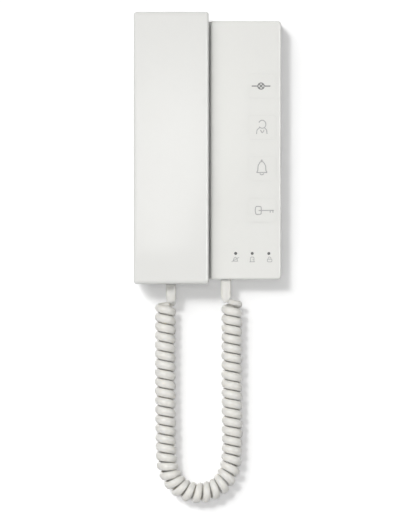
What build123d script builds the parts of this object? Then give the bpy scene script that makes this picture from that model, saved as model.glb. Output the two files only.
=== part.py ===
from build123d import *
import os
from math import cos, pi, radians, sin, sqrt, tan

# A wall intercom with its handset in the cradle, in millimetres. The wall is the plane Y = 0, the front
# looks along -Y, and the origin is the middle of the wall plate's back. Depths count from the wall.

# Driving dimensions
base_height = 193.4
console_width = 52.6
console_depth = 32.0
cradle_depth = 15.0
handset_width = 55.9
handset_depth = 48.0
side_overhang = 2.9
top_overhang = 6.5
bottom_overhang = 3.5
wall = 2.2
overrun = 1.0

# Clearances
side_gap = 1.6
rest_gap = 0.3
seam_gap = 0.15
plate_gap = 0.3
key_gap = 0.1
running_gap = 0.1
hole_gap = 0.2
lug_gap = 1.6
seat_gap = 0.2
close_gap = 0.05

# Console housing
rim_height = 0.6
base_corner = 2.6
console_edge = 1.5
cradle_edge = 1.2
step_edge = 0.6

# Wall plate
plate_thickness = 2.5
plate_rib_height = 3.0
plate_rib_width = 1.6
pocket_depth = 0.7
pocket_rib = 5.0
pocket_column_count = 4
pocket_row_count = 7
wall_screw_spacing = 60.0
wall_screw_inset = 22.7
wall_screw_radius = 2.2
wall_head_radius = 4.6
wall_head_depth = 0.9
cable_entry_width = 24.0
cable_entry_height = 15.0
cable_entry_inset = 20.7

# Cradle lugs and sound slots
ear_inset = 26.2
ear_lug_radius = 13.0
ear_lug_height = 3.2
ear_recess_depth = 4.0
mouth_inset = 34.2
mouth_lug_width = 19.0
mouth_lug_height = 7.0
mouth_lug_depth = 2.4
mouth_recess_depth = 3.2
lug_edge = 1.0
slot_length = 21.0
slot_width = 1.6
slot_pitch = 3.6
slot_count = 5

# Hook button
hook_inset = 49.7
hook_radius = 4.0
hook_flange_radius = 6.0
hook_flange_thickness = 1.0
hook_stem_radius = 1.6
hook_travel = 3.4
hook_edge = 0.8
hook_collar_wall = 1.3
hook_switch_size = 6.0
hook_switch_height = 2.9
hook_spring_wall = 0.6

# Keys
key_width = 21.0
key_spacing = 13.0
key_corner = 2.4
key_side_inset = 14.2
key_top_inset = 48.7
key_bottom_inset = 51.7
key_travel = 0.8
key_flange_reach = 1.2
key_flange_thickness = 1.0
key_stem = 4.0
key_names = ["aux_key", "guard_key", "bell_key", "door_key"]
plunger_names = ["aux_plunger", "guard_plunger", "bell_plunger", "door_plunger"]

# Circuit board and what it carries
board_height = 14.0
board_thickness = 1.6
board_margin = 2.0
board_top_inset = 36.7
board_bottom_inset = 5.7
board_post_radius = 3.5
board_post_inset = 4.6
switch_size = 6.0
switch_height = 3.5
plunger_radius = 1.7
plunger_rise = 1.5
plunger_depth = 1.9
bore_margin = 0.4
chip_length = 12.0
chip_width = 7.6
chip_height = 2.2
can_radius = 3.2
can_height = 7.0
can_pitch = 9.6
led_length = 3.2
led_width = 2.6
led_height = 1.9
led_corner = 0.5

# Status lights
light_radius = 1.1
light_collar_radius = 2.0
light_collar_height = 1.2
light_side_inset = 21.6
light_pitch = 12.4
light_inset = 19.4
light_count = 3

# Terminal block
terminal_count = 6
terminal_pitch = 5.08
terminal_width = 9.0
terminal_height = 9.4
terminal_inset = 45.7
terminal_wire_hole = 2.6
terminal_screw_radius = 1.5
terminal_screw_depth = 3.2

# Call loudspeaker
speaker_radius = 14.0
speaker_height = 3.6
magnet_radius = 8.0
magnet_height = 3.4
gasket_thickness = 1.0
gasket_width = 2.0
fence_wall = 1.2

# Screws
screw_radius = 1.45
screw_head_radius = 2.7
screw_head_height = 1.6
screw_length = 9.0
screw_slot_width = 0.7
screw_slot_depth = 0.7
screw_boss_radius = 4.0
cover_screw_rise = 24.0
upper_screw_inset = 10.0
lower_screw_inset = 20.0

# Handset
grip_depth = 27.0
ear_cap_length = 59.2
ear_slope = 14.0
mouth_cap_length = 46.2
end_drop = 2.0
heel_radius = 8.0
rear_corner = 4.0
front_corner = 3.0
handset_edge = 2.2
seam_depth = 35.0
ear_hole_radius = 0.9
ear_ring_radii = [0.0, 4.2, 8.2]
ear_ring_count = [1, 6, 12]
mouth_hole_radius = 0.8
mouth_hole_pitch = 3.6
mouth_hole_count = 5

# Receiver and microphone
receiver_radius = 13.0
receiver_height = 6.5
receiver_magnet_radius = 8.5
receiver_magnet_height = 4.0
receiver_fence_height = 5.0
mic_radius = 4.85
mic_height = 5.0
mic_boot_wall = 1.5
mic_boot_floor = 1.2

# Plugs, jacks and boots
plug_width = 7.6
plug_thickness = 6.2
plug_length = 13.0
plug_nose = 3.0
contact_count = 4
contact_width = 0.5
contact_pitch = 1.25
contact_depth = 0.6
jack_wall = 2.0
jack_length = 15.0
boot_width = 7.8
boot_thickness = 6.4
boot_corner = 2.2
boot_end_edge = 0.8
port_gap = 0.4
plug_proud = 0.1

# Curly cord, hanging between the two boots, its route counted from the console's lower left corner
wire_diameter = 4.2
coil_diameter = 15.8
coil_turn_count = 46
coil_axis_y = -17.2
tail_bend = 5.5
handset_turn_angle = -18.7
base_turn_angle = -99.4
tight_from_share = 0.30
tight_to_share = 0.71
tight_share = 0.07
turn_knot_count = 4
gap_sample_count = 5
gap_window_count = 4
way_step_share = 1e-5
route_fill_share = 0.45
cord_route = [
    (-34.0, -17.3),
    (-34.3, -73.3),
    (-33.8, -117.3),
    (-33.2, -145.1),
    (-19.7, -160.1),
    (1.6, -160.1),
    (15.3, -145.1),
    (16.2, -117.3),
    (15.7, -73.3),
    (15.8, -17.3),
]

# Places worked out from the sizes
base_width = console_width + side_gap + handset_width - side_overhang
base_top = base_height / 2
base_bottom = -base_height / 2
console_left = base_width / 2 - console_width
console_x = console_left + console_width / 2
floor_inside = cradle_depth - wall
panel_inside = console_depth - wall
handset_x = console_left - side_gap - handset_width / 2
handset_top = base_top + top_overhang
handset_bottom = base_bottom - bottom_overhang
handset_rise = (handset_top + handset_bottom) / 2
ear_rise = handset_top - ear_inset
mouth_rise = handset_bottom + mouth_inset
hook_rise = handset_top - hook_inset
ear_bottom = handset_top - ear_cap_length
mouth_top = handset_bottom + mouth_cap_length
ear_slope_top = ear_bottom - ear_slope
mouth_slope_bottom = mouth_top + ear_slope
rest_depth = cradle_depth + rest_gap
board_face = board_height + board_thickness
ear_dish_radius = ear_lug_radius + lug_gap
mouth_dish_width = mouth_lug_width + 2 * lug_gap
mouth_dish_height = mouth_lug_height + 2 * lug_gap
ear_floor = rest_depth + ear_recess_depth + wall
mouth_floor = rest_depth + mouth_recess_depth + wall
grip_inside = grip_depth + wall
key_x = base_width / 2 - key_side_inset
key_pitch = (base_height - key_top_inset - key_bottom_inset) / (len(key_names) - 1)
key_height = key_pitch - key_spacing
key_rows = [base_top - key_top_inset - key_pitch * row for row in range(len(key_names))]
light_x = base_width / 2 - light_side_inset
light_rise = base_bottom + light_inset
terminal_rise = base_bottom + terminal_inset
cable_entry_rise = base_bottom + cable_entry_inset
wall_screw_rise = base_top - wall_screw_inset
cover_screw_places = [(handset_x, cover_screw_rise), (handset_x, -cover_screw_rise)]
handset_screw_rises = [ear_slope_top - upper_screw_inset, mouth_slope_bottom + lower_screw_inset]
handset_screw_places = [(handset_x, rise) for rise in handset_screw_rises]
board_left = console_left + wall + board_margin
board_right = base_width / 2 - wall - board_margin
board_top = base_top - board_top_inset
board_bottom = base_bottom + board_bottom_inset
board_places = [
    (x, z)
    for x in (board_left + board_post_inset, board_right - board_post_inset)
    for z in (board_top - board_post_inset, board_bottom + board_post_inset)
    if x > console_x or z > 0
]

os.makedirs("parts", exist_ok=True)


def front(depth):
    """The plane that lies a depth in front of the wall and looks at the viewer."""
    return Plane.XZ.offset(depth)


def save(piece, name):
    """Label a finished piece and write it under its name."""
    piece.part.label = name
    export_step(piece.part, f"parts/{name}.step")


# Curly cord: its route, its turns and its two ends


def route_radii(points):
    """The largest arcs that a route's runs allow, one for each corner."""
    radii = []
    for before, corner, after in zip(points, points[1:], points[2:]):
        turn = radians((corner - before).get_angle(after - corner))
        shorter = min((corner - before).length, (after - corner).length)
        radii.append(route_fill_share * shorter / tan(turn / 2))
    return radii


route_corners = [Vector(console_left + x, coil_axis_y, base_bottom + z) for x, z in cord_route]
corner_radii = route_radii(route_corners)
print("cord route radii", [round(radius, 1) for radius in corner_radii])
with BuildLine() as route_line:
    FilletPolyline(*route_corners, radius=corner_radii)
cord_axis = route_line.wires()[0]
coil_radius = (coil_diameter - wire_diameter) / 2
coil_sweep = 360 * coil_turn_count + base_turn_angle - handset_turn_angle
knot_count = round(coil_sweep / 360 * turn_knot_count)
toward_wall = Vector(0, 1, 0)
upward = Vector(0, 0, 1)


def turned_share(share):
    """How much of the turning lies before a share of the route, with tighter turns where the loop bends."""
    width = tight_to_share - tight_from_share
    bent = min(max((share - tight_from_share) / width, 0), 1)
    return share + tight_share * width * (bent / 2 - sin(2 * pi * bent) / (4 * pi))


def coil_point(share):
    """A point of the wire's centre at a share of the route's length."""
    way = cord_axis.tangent_at(share)
    inward = Vector(-way.Z, 0, way.X)
    angle = radians(handset_turn_angle + coil_sweep * turned_share(share) / turned_share(1))
    around = inward * cos(angle) + toward_wall * sin(angle)
    return cord_axis.position_at(share) + around * coil_radius


def coil_way(share):
    """The wire's direction at a share of the route's length."""
    ahead = min(share + way_step_share, 1)
    behind = max(share - way_step_share, 0)
    return (coil_point(ahead) - coil_point(behind)).normalized()


def tail_mouth(point, way):
    """Where the straight wire ends above a coil's end, given the way that leads to it."""
    flat = Vector(way.X, way.Y, 0).normalized()
    return point + (flat + upward) * tail_bend


def biarc(start, start_way, end, end_way):
    """Draw two arcs that leave start along start_way and reach end along end_way."""
    chord = end - start
    ways = start_way + end_way
    spread = 1 - start_way.dot(end_way)
    along = chord.dot(ways)
    reach = (sqrt(along**2 + 2 * spread * chord.dot(chord)) - along) / (2 * spread)
    leave, arrive = start + start_way * reach, end - end_way * reach
    middle = (leave + arrive) / 2
    arcs = [
        TangentArc(start, middle, tangent=start_way),
        TangentArc(middle, end, tangent=arrive - middle),
    ]
    return min(arc.radius for arc in arcs)


knots = [(coil_point(k / knot_count), coil_way(k / knot_count)) for k in range(knot_count + 1)]
handset_mouth = tail_mouth(knots[0][0], knots[0][1] * -1)
base_mouth = tail_mouth(knots[-1][0], knots[-1][1])
handset_plug_foot = handset_bottom - plug_proud
base_plug_foot = base_bottom - plug_proud
handset_end = Vector(handset_mouth.X, handset_mouth.Y, handset_plug_foot)
base_end = Vector(base_mouth.X, base_mouth.Y, base_plug_foot)
path_knots = [(handset_mouth, upward * -1)] + knots + [(base_mouth, upward)]
with BuildLine() as cord_line:
    Line(handset_end, handset_mouth)
    turn_radii = [
        biarc(start, start_way, end, end_way)
        for (start, start_way), (end, end_way) in zip(path_knots, path_knots[1:])
    ]
    Line(base_mouth, base_end)
cord_path = cord_line.wires()[0]


def least_gap(wire, edges):
    """The least free space between the wire's own turns, measured on points of its path."""
    points = [edge.position_at(k / gap_sample_count) for edge in edges for k in range(gap_sample_count)]
    apart = turn_knot_count * gap_sample_count
    least = min(
        (points[i] - points[j]).length
        for i in range(len(points))
        for j in range(i + apart, min(i + gap_window_count * apart, len(points)))
    )
    return least - wire


print("cord length", round(cord_path.length, 1), "pitch", round(cord_axis.length * 360 / coil_sweep, 2))
print("tightest turn", round(min(turn_radii), 2), "of a wire", wire_diameter)
print("least gap between turns", round(least_gap(wire_diameter, cord_line.edges()), 2))
print("handset mouth", handset_mouth, "base mouth", base_mouth)

with BuildPart() as curly_cord:
    with BuildSketch(Plane(origin=handset_end, z_dir=upward * -1)):
        Circle(wire_diameter / 2)
    sweep(path=cord_path)
save(curly_cord, "curly_cord")


# Cord boots, plugs and jacks, one set at each end


def make_boot(end, mouth):
    """A moulded sleeve round the straight end of the wire."""
    with BuildPart() as boot:
        with BuildSketch(Plane.XY.offset(mouth.Z)):
            with Locations((end.X, end.Y)):
                RectangleRounded(boot_width, boot_thickness, boot_corner)
        extrude(amount=end.Z - mouth.Z)
        fillet(boot.faces().sort_by(Axis.Z)[0].edges(), boot_end_edge)
        with BuildSketch(Plane.XY.offset(mouth.Z)):
            with Locations((end.X, end.Y)):
                Circle(wire_diameter / 2 + close_gap)
        extrude(amount=end.Z - mouth.Z, mode=Mode.SUBTRACT)
    return boot


def make_plug(end):
    """A clear modular plug with its row of contacts cut into the nose."""
    with BuildPart() as plug:
        with BuildSketch(Plane.XY.offset(end.Z)):
            with Locations((end.X, end.Y)):
                Rectangle(plug_width, plug_thickness)
        extrude(amount=plug_length)
        chamfer(plug.faces().sort_by(Axis.Z)[-1].edges(), contact_depth)
        with BuildSketch(Plane.XZ.offset(-end.Y + plug_thickness / 2)):
            with Locations((end.X, end.Z + plug_length - plug_nose / 2)):
                with GridLocations(contact_pitch, 0, contact_count, 1):
                    Rectangle(contact_width, plug_nose)
        extrude(amount=-contact_depth, mode=Mode.SUBTRACT)
    return plug


def make_jack(end, bottom, back_depth):
    """A socket that takes a plug from below and stands on a face at back_depth."""
    front_depth = -end.Y + plug_thickness / 2 + seat_gap + jack_wall
    width = plug_width + 2 * (seat_gap + jack_wall)
    with BuildPart() as jack:
        with BuildSketch(front(back_depth)):
            with Locations((end.X, bottom + jack_length / 2)):
                Rectangle(width, jack_length)
        extrude(amount=front_depth - back_depth)
        with BuildSketch(Plane.XY.offset(bottom - overrun)):
            with Locations((end.X, end.Y)):
                Rectangle(plug_width + 2 * seat_gap, plug_thickness + 2 * seat_gap)
        extrude(amount=end.Z + plug_length + seat_gap - bottom + overrun, mode=Mode.SUBTRACT)
    return jack


def port_outline(end, bottom):
    """The hole that a plug goes through in a bottom wall, drawn just below the wall."""
    with BuildSketch(Plane.XY.offset(bottom - overrun)) as outline:
        with Locations((end.X, end.Y)):
            Rectangle(plug_width + 2 * port_gap, plug_thickness + 2 * port_gap)
    return outline.sketch


base_jack_bottom = base_bottom + wall + seat_gap
handset_jack_bottom = handset_bottom + rear_corner + seat_gap
save(make_boot(handset_end, handset_mouth), "handset_boot")
save(make_boot(base_end, base_mouth), "base_boot")
save(make_plug(handset_end), "handset_plug")
save(make_plug(base_end), "base_plug")
save(make_jack(base_end, base_jack_bottom, board_face), "base_jack")
save(make_jack(handset_end, handset_jack_bottom, rest_depth + wall), "handset_jack")


# Console housing, with the cradle on its left

with BuildPart() as base_front:
    with BuildSketch(front(rim_height)):
        RectangleRounded(base_width, base_height, base_corner)
    extrude(amount=cradle_depth - rim_height)
    fillet(base_front.faces().sort_by(Axis.Y)[0].edges(), cradle_edge)
    with BuildSketch(front(rim_height)):
        RectangleRounded(base_width, base_height, base_corner)
        with Locations((console_x, 0)):
            Rectangle(console_width, base_height, mode=Mode.INTERSECT)
    extrude(amount=console_depth - rim_height)
    panel_edges = base_front.faces().sort_by(Axis.Y)[0].edges()
    fillet(panel_edges.sort_by(Axis.X)[0], step_edge)
    panel_edges = base_front.faces().sort_by(Axis.Y)[0].edges()
    fillet(panel_edges.sort_by(Axis.X)[1:], console_edge)

    # Hollow from the back
    with BuildSketch(front(rim_height)):
        Rectangle(base_width - 2 * wall, base_height - 2 * wall)
    extrude(amount=floor_inside - rim_height, mode=Mode.SUBTRACT)
    with BuildSketch(front(rim_height)):
        with Locations((console_x, 0)):
            Rectangle(console_width - 2 * wall, base_height - 2 * wall)
    extrude(amount=panel_inside - rim_height, mode=Mode.SUBTRACT)

    # Lugs that the handset sits over
    with BuildSketch(front(cradle_depth)):
        with Locations((handset_x, ear_rise)):
            Circle(ear_lug_radius)
    extrude(amount=ear_lug_height)
    fillet(base_front.faces().filter_by(Axis.Y).filter_by_position(
        Axis.Y, -cradle_depth - ear_lug_height, -cradle_depth - ear_lug_height).edges(), lug_edge)
    with BuildSketch(front(cradle_depth)):
        with Locations((handset_x, mouth_rise)):
            RectangleRounded(mouth_lug_width, mouth_lug_height, base_corner)
    extrude(amount=mouth_lug_depth)
    fillet(base_front.faces().filter_by(Axis.Y).filter_by_position(
        Axis.Y, -cradle_depth - mouth_lug_depth, -cradle_depth - mouth_lug_depth).edges(), lug_edge)

    # Sound slots over the call loudspeaker, and the fence that holds it
    with BuildSketch(front(floor_inside)):
        with Locations((handset_x, 0)):
            Circle(speaker_radius + seat_gap + fence_wall)
            Circle(speaker_radius + seat_gap, mode=Mode.SUBTRACT)
    extrude(amount=-gasket_thickness - speaker_height)
    with BuildSketch(front(floor_inside)):
        with Locations((handset_x, 0)):
            with GridLocations(0, slot_pitch, 1, slot_count):
                SlotOverall(slot_length, slot_width)
    extrude(amount=wall, mode=Mode.SUBTRACT)

    # Guide of the hook button
    with BuildSketch(front(floor_inside)):
        with Locations((handset_x, hook_rise)):
            Circle(hook_flange_radius + hole_gap + hook_collar_wall)
            Circle(hook_flange_radius + hole_gap, mode=Mode.SUBTRACT)
    extrude(amount=-hook_travel - hook_flange_thickness)
    with BuildSketch(front(floor_inside)):
        with Locations((handset_x, hook_rise)):
            Circle(hook_radius + running_gap)
    extrude(amount=wall, mode=Mode.SUBTRACT)

    # Bosses of the two cover screws
    with BuildSketch(front(floor_inside)):
        with Locations(*cover_screw_places):
            Circle(screw_boss_radius)
    extrude(amount=-screw_head_height)
    with BuildSketch(front(cradle_depth)):
        with Locations(*cover_screw_places):
            Circle(screw_head_radius + hole_gap)
    extrude(amount=-screw_head_height - rest_gap, mode=Mode.SUBTRACT)
    with BuildSketch(front(cradle_depth)):
        with Locations(*cover_screw_places):
            Circle(screw_radius + hole_gap)
    extrude(amount=-wall - screw_head_height, mode=Mode.SUBTRACT)

    # Key windows, light holes and the cord's port
    with BuildSketch(front(panel_inside)):
        with Locations(*[(key_x, row) for row in key_rows]):
            RectangleRounded(key_width + 2 * key_gap, key_height + 2 * key_gap, key_corner + key_gap)
        with Locations((light_x, light_rise)):
            with GridLocations(light_pitch, 0, light_count, 1):
                Circle(light_radius + close_gap)
    extrude(amount=wall, mode=Mode.SUBTRACT)
    extrude(port_outline(base_end, base_bottom), amount=wall + 2 * overrun, mode=Mode.SUBTRACT)
save(base_front, "base_front")


# Wall plate, with its posts and ribs

plate_width = base_width - 2 * (wall + plate_gap)
plate_height = base_height - 2 * (wall + plate_gap)
pocket_pitch_x = plate_width / pocket_column_count
pocket_pitch_z = plate_height / pocket_row_count
wall_screw_places = [(side * wall_screw_spacing / 2, wall_screw_rise) for side in (-1, 1)]

with BuildPart() as base_back:
    with BuildSketch(front(0)):
        Rectangle(plate_width, plate_height)
    extrude(amount=plate_thickness)
    with BuildSketch(front(0)):
        with GridLocations(pocket_pitch_x, pocket_pitch_z, pocket_column_count, pocket_row_count):
            Rectangle(pocket_pitch_x - pocket_rib, pocket_pitch_z - pocket_rib)
        with Locations(*wall_screw_places, *cover_screw_places):
            Circle(wall_head_radius + wall, mode=Mode.SUBTRACT)
        with Locations((handset_x, cable_entry_rise)):
            Rectangle(cable_entry_width + 2 * wall, cable_entry_height + 2 * wall, mode=Mode.SUBTRACT)
    extrude(amount=pocket_depth, mode=Mode.SUBTRACT)

    # Rib round the plate
    with BuildSketch(front(plate_thickness)):
        Rectangle(plate_width, plate_height)
        Rectangle(plate_width - 2 * plate_rib_width, plate_height - 2 * plate_rib_width, mode=Mode.SUBTRACT)
    extrude(amount=plate_rib_height)

    # Posts for the board and for the cover screws
    with BuildSketch(front(plate_thickness)):
        with Locations(*board_places):
            Circle(board_post_radius)
            Circle(screw_radius + running_gap, mode=Mode.SUBTRACT)
    extrude(amount=board_height - plate_thickness)
    with BuildSketch(front(plate_thickness)):
        with Locations(*cover_screw_places):
            Circle(screw_boss_radius)
    extrude(amount=floor_inside - screw_head_height - plate_thickness - seam_gap)
    with BuildSketch(front(0)):
        with Locations(*cover_screw_places):
            Circle(screw_radius + running_gap)
    extrude(amount=floor_inside, mode=Mode.SUBTRACT)

    # Fixing holes and the cable entry
    with BuildSketch(front(0)):
        with Locations(*wall_screw_places):
            Circle(wall_screw_radius)
        with Locations((handset_x, cable_entry_rise)):
            RectangleRounded(cable_entry_width, cable_entry_height, base_corner)
    extrude(amount=plate_thickness, mode=Mode.SUBTRACT)
    with BuildSketch(front(plate_thickness)):
        with Locations(*wall_screw_places):
            Circle(wall_head_radius)
    extrude(amount=-wall_head_depth, mode=Mode.SUBTRACT)
save(base_back, "base_back")


# Screws, one node for each kind


def make_screws(places, seat_depth, length):
    """Pan-head screws whose heads sit on seat_depth and whose shanks run towards the wall."""
    with BuildPart() as screws:
        with BuildSketch(front(seat_depth)):
            with Locations(*places):
                Circle(screw_head_radius)
        extrude(amount=screw_head_height)
        with BuildSketch(front(seat_depth)):
            with Locations(*places):
                Circle(screw_radius)
        extrude(amount=-length)
        with BuildSketch(front(seat_depth + screw_head_height)):
            with Locations(*places):
                Rectangle(2 * screw_head_radius + overrun, screw_slot_width)
                Rectangle(screw_slot_width, 2 * screw_head_radius + overrun)
        extrude(amount=-screw_slot_depth, mode=Mode.SUBTRACT)
    return screws


cover_screw_seat = cradle_depth - screw_head_height - rest_gap
save(make_screws(cover_screw_places, cover_screw_seat, screw_length), "cover_screws")
save(make_screws(board_places, board_face, screw_length), "board_screws")


# Circuit board with its key switches and status LEDs

board_width = board_right - board_left
board_length = board_top - board_bottom
board_x = (board_left + board_right) / 2
board_z = (board_top + board_bottom) / 2
light_xs = [light_x + light_pitch * (k - (light_count - 1) / 2) for k in range(light_count)]
chip_places = [(board_left + chip_width, row - key_pitch / 2) for row in key_rows[:2]]
can_places = [(board_left + 2 * can_radius, key_rows[2] + step * can_pitch) for step in (-1, 0, 1)]

with BuildPart() as circuit_board:
    with BuildSketch(front(board_height)):
        with Locations((board_x, board_z)):
            Rectangle(board_width, board_length)
        with Locations(*board_places):
            Circle(screw_radius + hole_gap, mode=Mode.SUBTRACT)
    extrude(amount=board_thickness)
    with BuildSketch(front(board_face)):
        with Locations(*chip_places):
            Rectangle(chip_width, chip_length)
    extrude(amount=chip_height)
    with BuildSketch(front(board_face)):
        with Locations(*can_places):
            Circle(can_radius)
    extrude(amount=can_height)
save(circuit_board, "circuit_board")

with BuildPart() as key_switches:
    with BuildSketch(front(board_face)):
        with Locations(*[(key_x, row) for row in key_rows]):
            Rectangle(switch_size, switch_size)
    extrude(amount=switch_height)
    with BuildSketch(front(board_face + switch_height)):
        with Locations(*[(key_x, row) for row in key_rows]):
            Circle(plunger_radius + running_gap)
    extrude(amount=-plunger_depth - key_travel - bore_margin, mode=Mode.SUBTRACT)
save(key_switches, "key_switches")

with BuildPart() as status_leds:
    with BuildSketch(front(board_face)):
        with Locations(*[(x, light_rise) for x in light_xs]):
            RectangleRounded(led_length, led_width, led_corner)
    extrude(amount=led_height)
save(status_leds, "status_leds")

with BuildPart() as light_pipes:
    with BuildSketch(front(board_face + led_height + rest_gap)):
        with Locations(*[(x, light_rise) for x in light_xs]):
            Circle(light_radius)
    extrude(amount=console_depth - board_face - led_height - rest_gap)
    with BuildSketch(front(panel_inside - seam_gap)):
        with Locations(*[(x, light_rise) for x in light_xs]):
            Circle(light_collar_radius)
    extrude(amount=-light_collar_height)
save(light_pipes, "light_pipes")


# Keys: a cap flush with the panel, and the switch plunger under it

plunger_top = board_face + switch_height + plunger_rise
flange_face = panel_inside - seam_gap


def make_key(row):
    """A key cap with the flange that stops it and the stem that reaches its switch."""
    with BuildPart() as key:
        with BuildSketch(front(console_depth)):
            with Locations((key_x, row)):
                RectangleRounded(key_width, key_height, key_corner)
        extrude(amount=flange_face - console_depth)
        with BuildSketch(front(flange_face)):
            with Locations((key_x, row)):
                RectangleRounded(
                    key_width + 2 * key_flange_reach, key_height + 2 * key_flange_reach, key_corner)
        extrude(amount=-key_flange_thickness)
        with BuildSketch(front(flange_face - key_flange_thickness)):
            with Locations((key_x, row)):
                Rectangle(key_stem, key_stem)
        extrude(amount=plunger_top - flange_face + key_flange_thickness)
    return key


def make_plunger(row):
    """The pin that a key's stem pushes into its switch."""
    with BuildPart() as plunger:
        with BuildSketch(front(plunger_top)):
            with Locations((key_x, row)):
                Circle(plunger_radius)
        extrude(amount=-plunger_rise - plunger_depth)
    return plunger


for name, plunger_name, row in zip(key_names, plunger_names, key_rows):
    save(make_key(row), name)
    save(make_plunger(row), plunger_name)


# Terminal block on the wall plate

terminal_length = terminal_count * terminal_pitch
terminal_places = [
    (handset_x + terminal_pitch * (k - (terminal_count - 1) / 2), terminal_rise)
    for k in range(terminal_count)
]

with BuildPart() as terminal_block:
    with BuildSketch(front(plate_thickness)):
        with Locations((handset_x, terminal_rise)):
            Rectangle(terminal_length, terminal_width)
    extrude(amount=terminal_height)
    with BuildSketch(front(plate_thickness + terminal_height)):
        with Locations(*terminal_places):
            Circle(terminal_screw_radius + running_gap)
    extrude(amount=-terminal_screw_depth, mode=Mode.SUBTRACT)
    with BuildSketch(Plane.XY.offset(terminal_rise - terminal_width / 2)):
        with Locations(*[(x, -plate_thickness - terminal_wire_hole) for x, _ in terminal_places]):
            Rectangle(terminal_wire_hole, terminal_wire_hole)
    extrude(amount=terminal_width / 2, mode=Mode.SUBTRACT)
save(terminal_block, "terminal_block")

with BuildPart() as terminal_screws:
    with BuildSketch(front(plate_thickness + terminal_height - terminal_screw_depth)):
        with Locations(*terminal_places):
            Circle(terminal_screw_radius)
    extrude(amount=terminal_screw_depth - rest_gap)
    with BuildSketch(front(plate_thickness + terminal_height - rest_gap)):
        with Locations(*terminal_places):
            Rectangle(2 * terminal_screw_radius + overrun, screw_slot_width)
    extrude(amount=-screw_slot_depth, mode=Mode.SUBTRACT)
save(terminal_screws, "terminal_screws")


# Call loudspeaker behind the cradle floor

with BuildPart() as speaker_gasket:
    with BuildSketch(front(floor_inside)):
        with Locations((handset_x, 0)):
            Circle(speaker_radius)
            Circle(speaker_radius - gasket_width, mode=Mode.SUBTRACT)
    extrude(amount=-gasket_thickness)
save(speaker_gasket, "speaker_gasket")

with BuildPart() as call_speaker:
    with BuildSketch(front(floor_inside - gasket_thickness)):
        with Locations((handset_x, 0)):
            Circle(speaker_radius)
    extrude(amount=-speaker_height)
    with BuildSketch(front(floor_inside - gasket_thickness - speaker_height)):
        with Locations((handset_x, 0)):
            Circle(magnet_radius)
    extrude(amount=-magnet_height)
save(call_speaker, "call_speaker")


# Hook button with its spring and switch

hook_flange_top = floor_inside - hook_travel - hole_gap
hook_flange_bottom = hook_flange_top - hook_flange_thickness
hook_switch_top = plate_thickness + hook_switch_height

with BuildPart() as hook_button:
    with BuildSketch(front(hook_flange_top)):
        with Locations((handset_x, hook_rise)):
            Circle(hook_radius)
    extrude(amount=cradle_depth - hook_flange_top)
    fillet(hook_button.faces().sort_by(Axis.Y)[0].edges(), hook_edge)
    with BuildSketch(front(hook_flange_top)):
        with Locations((handset_x, hook_rise)):
            Circle(hook_flange_radius)
    extrude(amount=-hook_flange_thickness)
    with BuildSketch(front(hook_flange_bottom)):
        with Locations((handset_x, hook_rise)):
            Circle(hook_stem_radius)
    extrude(amount=hook_switch_top + rest_gap - hook_flange_bottom)
save(hook_button, "hook_button")

with BuildPart() as hook_switch:
    with BuildSketch(front(plate_thickness)):
        with Locations((handset_x, hook_rise)):
            Rectangle(hook_switch_size, hook_switch_size)
    extrude(amount=hook_switch_height)
save(hook_switch, "hook_switch")

with BuildPart() as hook_spring:
    with BuildSketch(front(plate_thickness)):
        with Locations((handset_x, hook_rise)):
            Circle(hook_flange_radius - hole_gap)
            Circle(hook_flange_radius - hole_gap - hook_spring_wall, mode=Mode.SUBTRACT)
    extrude(amount=hook_flange_bottom - plate_thickness - hole_gap)
save(hook_spring, "hook_spring")


# Handset: one block, drawn in by the wall for its hollow, and parted at the seam

end_depth = handset_depth - end_drop


def handset_block(inset=0):
    """The handset's whole form, drawn in by an inset all round."""
    with BuildPart() as block:
        with BuildSketch(Plane.YZ.offset(handset_x)) as side:
            with BuildLine():
                Polyline(
                    (-end_depth, handset_top),
                    (-rest_depth, handset_top),
                    (-rest_depth, ear_bottom),
                    (-grip_depth, ear_slope_top),
                    (-grip_depth, mouth_slope_bottom),
                    (-rest_depth, mouth_top),
                    (-rest_depth, handset_bottom),
                    (-end_depth, handset_bottom),
                )
                ThreePointArc(
                    (-end_depth, handset_bottom),
                    (-handset_depth, handset_rise),
                    (-end_depth, handset_top),
                )
            make_face()
            heels = side.vertices().filter_by_position(Axis.Y, mouth_top, ear_bottom)
            fillet(heels, heel_radius)
            fillet(side.vertices().group_by(Axis.X)[0], front_corner)
            ends = side.vertices().group_by(Axis.Y)
            fillet([group.sort_by(Axis.X)[-1] for group in (ends[0], ends[-1])], rear_corner)
            if inset:
                offset(amount=-inset)
        extrude(amount=handset_width / 2 - inset, both=True)
        if not inset:
            fillet(block.faces().filter_by(Axis.X).edges(), handset_edge)
    return block.part


handset_outside = handset_block()
handset_inside = handset_block(wall)
seam_plane = front(seam_depth)
front_wall_middle = handset_depth - wall / 2
post_top = seam_depth + seam_gap

with BuildPart() as handset_front:
    add(handset_outside)
    add(handset_inside, mode=Mode.SUBTRACT)
    split(bisect_by=seam_plane.offset(seam_gap), keep=Keep.TOP)
    with BuildSketch(front(post_top)):
        with Locations(*handset_screw_places):
            Circle(screw_boss_radius)
    extrude(amount=front_wall_middle - post_top)
    with BuildSketch(front(post_top)):
        with Locations(*handset_screw_places):
            Circle(screw_radius + running_gap)
    extrude(amount=screw_length, mode=Mode.SUBTRACT)
save(handset_front, "handset_front")

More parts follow.
